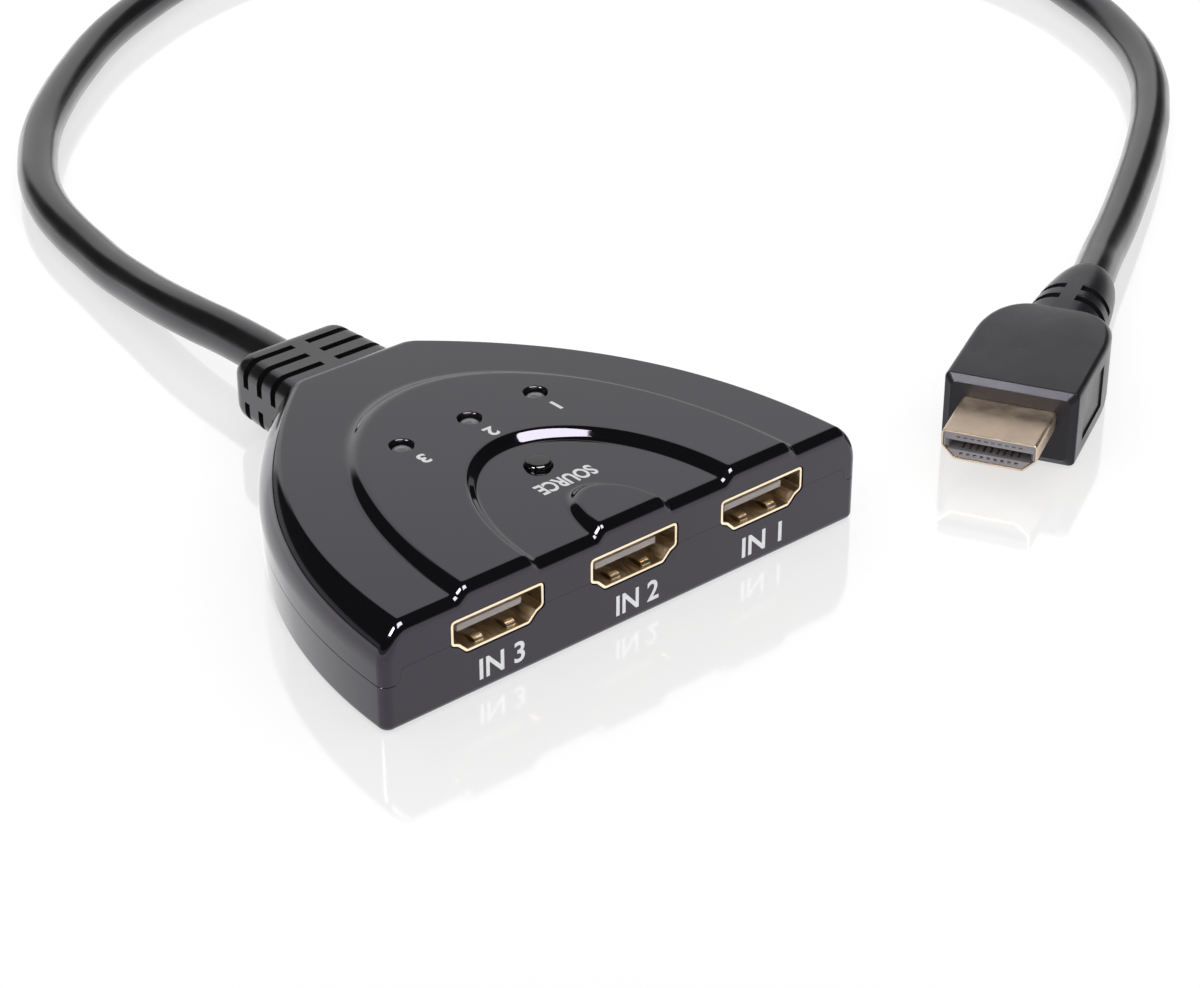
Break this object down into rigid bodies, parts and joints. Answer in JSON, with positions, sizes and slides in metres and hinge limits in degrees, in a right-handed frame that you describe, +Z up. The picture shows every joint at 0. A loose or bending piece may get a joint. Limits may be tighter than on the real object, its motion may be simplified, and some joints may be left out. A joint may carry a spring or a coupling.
{
  "type": "hdmi switch box",
  "caption": "Low tapered video switch box with stepped top, row of sockets, indicator lights, select key and captive output lead with plug.",
  "frame": {"origin": "on the base plane, in the middle of the housing without its lead", "axes": "+X along the socket face, +Y from the sockets to the cable end, +Z up"},
  "size_m": [0.2674, 0.2605, 0.0163],
  "materials": {
    "housing_plastic": "polished black moulded plastic",
    "key_plastic": "polished black moulded plastic",
    "steel": "zinc or tin plated steel",
    "gold_plating": "bright gold flash plating",
    "grey_resin": "satin moulded resin",
    "board": "solder mask over glass laminate",
    "chip_resin": "moulded black resin",
    "ceramic": "fired ceramic",
    "clear_lens": "clear cast resin",
    "soft_moulding": "satin black soft moulding",
    "cable_jacket": "satin black extruded jacket",
    "wire_insulation": "thin extruded insulation"
  },
  "bodies": {
    "housing": {"top_cover": "housing_plastic", "bottom_cover": "housing_plastic", "case_screws": "steel", "circuit_board": "board", "input_1_shell": "gold_plating", "input_2_shell": "gold_plating", "input_3_shell": "gold_plating", "input_1_insulator": "grey_resin", "input_2_insulator": "grey_resin", "input_3_insulator": "grey_resin", "input_1_contacts": "gold_plating", "input_2_contacts": "gold_plating", "input_3_contacts": "gold_plating", "switch_chip": "chip_resin", "switch_chip_leads": "steel", "voltage_regulator": "chip_resin", "chip_capacitors": "ceramic", "chip_resistors": "chip_resin", "led_1": "clear_lens", "led_2": "clear_lens", "led_3": "clear_lens", "led_leads": "steel", "tact_switch_body": "chip_resin", "tact_switch_cover": "steel", "tact_switch_dome": "steel", "tact_switch_terminals": "steel", "cable_boot": "soft_moulding", "cable_entry": "cable_jacket", "cable_wires": "wire_insulation", "cable": "cable_jacket", "plug_overmould": "soft_moulding", "plug_shell": "gold_plating", "plug_insulator": "grey_resin", "plug_contacts": "gold_plating"},
    "select_key": {"select_button": "key_plastic", "tact_switch_plunger": "key_plastic"}
  },
  "joints": [
    {"name": "select_press", "type": "slide", "parent": "housing", "child": "select_key", "axis": [0, 0, -1], "range_m": [0, 0.0003], "stiffness_N_per_m": 5000}
  ]
}
